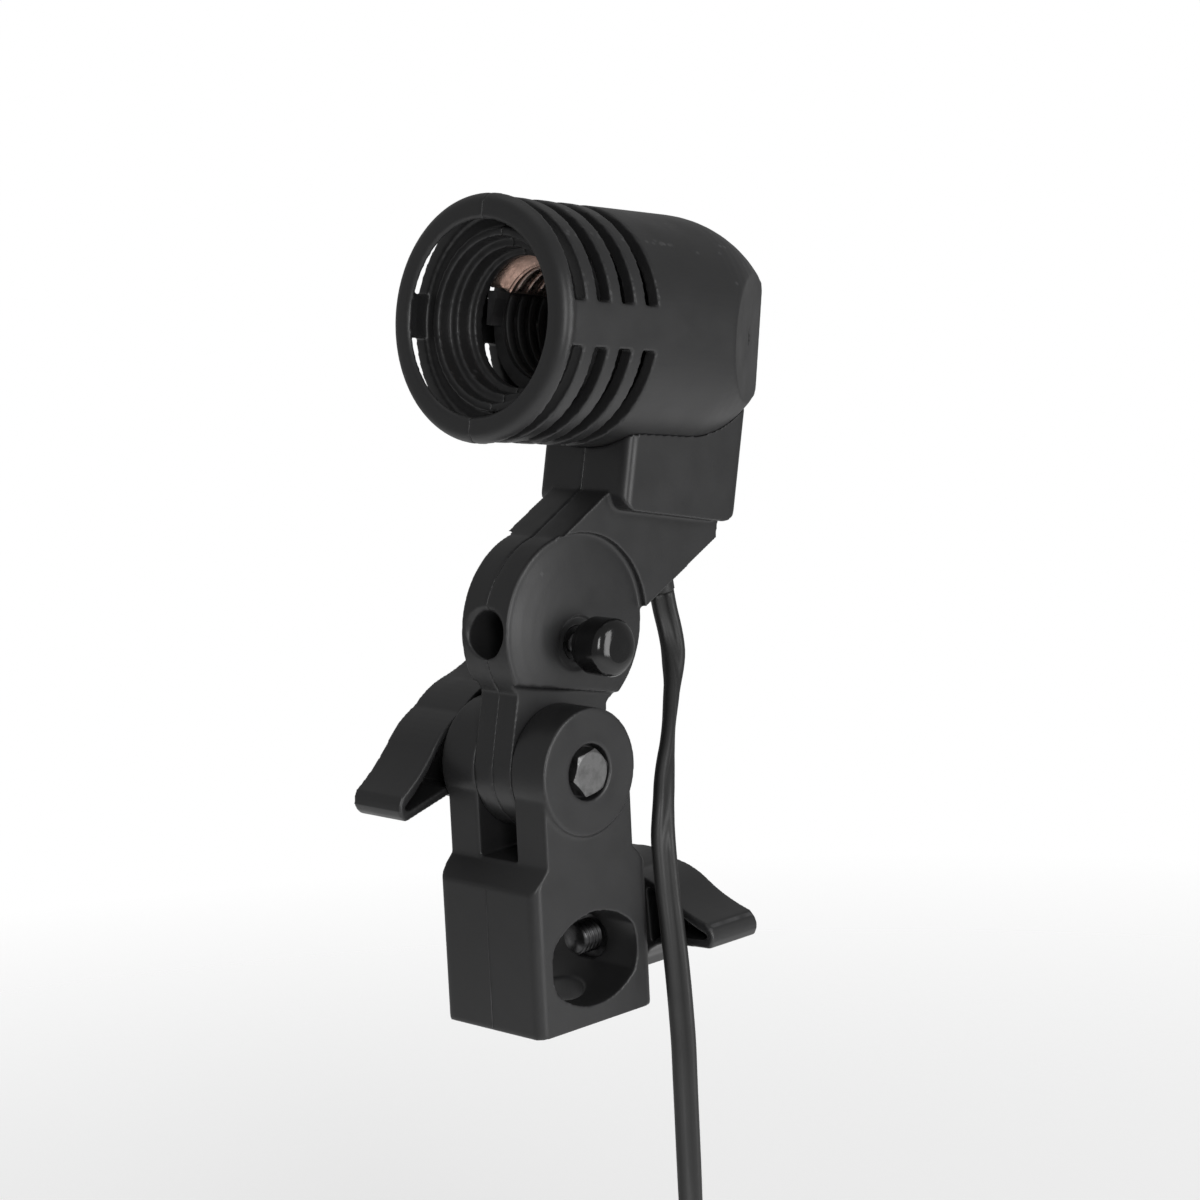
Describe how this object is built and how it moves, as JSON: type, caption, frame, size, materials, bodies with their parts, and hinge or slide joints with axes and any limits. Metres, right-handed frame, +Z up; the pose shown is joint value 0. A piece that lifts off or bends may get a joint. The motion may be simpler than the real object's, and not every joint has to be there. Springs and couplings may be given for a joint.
{
  "type": "umbrella swivel bracket",
  "caption": "Tilting black bracket for a light stand, with a screw-base lamp socket, an umbrella hole, wing knobs and a lead",
  "frame": {"origin": "centre of the stand socket's mouth, on the base's underside", "axes": "+Z up along the stand socket, lamp mouth towards -Y, tilt bolt's head and umbrella knob towards +X"},
  "size_m": [0.0865, 0.0984, 0.3924],
  "materials": {
    "housing_plastic": "satin moulded",
    "knob_plastic": "satin moulded",
    "gloss_knob": "polished",
    "socket_plastic": "moulded",
    "zinc": "zinc plated",
    "black_steel": "blackened",
    "brass": "turned",
    "contact_metal": "pressed",
    "rivet_metal": "polished",
    "pin_metal": "nickel plated",
    "cord_plastic": "semi-gloss",
    "tie_plastic": "moulded",
    "lead_brown": "extruded",
    "lead_blue": "extruded"
  },
  "bodies": {
    "base": {"base_body": "housing_plastic", "lock_insert": "black_steel", "tilt_bolt": "zinc", "tilt_washer": "zinc", "cord_lead": "cord_plastic", "cord_coil": "cord_plastic", "cord_tie": "tie_plastic", "cord_tail": "cord_plastic", "plug_body": "cord_plastic", "plug_pin_left": "pin_metal", "plug_pin_right": "pin_metal"},
    "lamp_body": {"housing_left": "housing_plastic", "housing_right": "housing_plastic", "lamp_shell_left": "housing_plastic", "lamp_shell_right": "housing_plastic", "housing_screw_tongue": "zinc", "housing_screw_boss": "zinc", "housing_screw_arm": "zinc", "housing_screw_neck": "zinc", "housing_screw_top": "zinc", "socket_core": "socket_plastic", "shell_contact": "contact_metal", "centre_contact": "contact_metal", "side_rivet": "rivet_metal", "terminal_screw_live": "brass", "terminal_screw_neutral": "brass", "lead_live": "lead_brown", "lead_neutral": "lead_blue", "cord_clamp": "socket_plastic", "clamp_screw_front": "zinc", "clamp_screw_rear": "zinc", "cord_boot": "cord_plastic", "umbrella_insert": "black_steel", "tilt_bush": "zinc"},
    "tilt_nut": {"tilt_nut": "brass"},
    "tilt_lever": {"tilt_lever": "knob_plastic"},
    "lock_screw": {"lock_screw": "black_steel"},
    "lock_knob": {"lock_knob": "knob_plastic"},
    "umbrella_screw": {"umbrella_screw": "black_steel"},
    "umbrella_knob": {"umbrella_knob": "gloss_knob"}
  },
  "joints": [
    {"name": "tilt", "type": "hinge", "parent": "base", "child": "lamp_body", "pos_m": [0, 0, 0.06], "axis": [1, 0, 0], "range_deg": [-62, 102], "deforming": ["cord_lead"]},
    {"name": "tilt_nut_travel", "type": "slide", "parent": "base", "child": "tilt_nut", "axis": [-1, 0, 0], "range_m": [-0.0001, 0.0021]},
    {"name": "tilt_lever_turn", "type": "hinge", "parent": "tilt_nut", "child": "tilt_lever", "pos_m": [-0.0245, 0, 0.06], "axis": [-1, 0, 0], "range_deg": [-30, 720]},
    {"name": "lock_travel", "type": "slide", "parent": "base", "child": "lock_screw", "axis": [0, 1, 0], "range_m": [-0.0008, 0.0051]},
    {"name": "lock_turn", "type": "hinge", "parent": "lock_screw", "child": "lock_knob", "pos_m": [0, 0.033, 0.0155], "axis": [0, 1, 0], "range_deg": [-230, 1440]},
    {"name": "umbrella_travel", "type": "slide", "parent": "lamp_body", "child": "umbrella_screw", "axis": [1, 0, 0], "range_m": [-0.0035, 0.002]},
    {"name": "umbrella_turn", "type": "hinge", "parent": "umbrella_screw", "child": "umbrella_knob", "pos_m": [0.018, 0.00627, 0.08852], "axis": [1, 0, 0], "range_deg": [-1570, 895]}
  ],
  "couplings": [
    {"joint": "tilt_nut_travel", "follows": "tilt_lever_turn", "m_per_rad": 0.00015915},
    {"joint": "lock_travel", "follows": "lock_turn", "m_per_rad": 0.00019894},
    {"joint": "umbrella_travel", "follows": "umbrella_turn", "m_per_rad": 0.00012732}
  ]
}
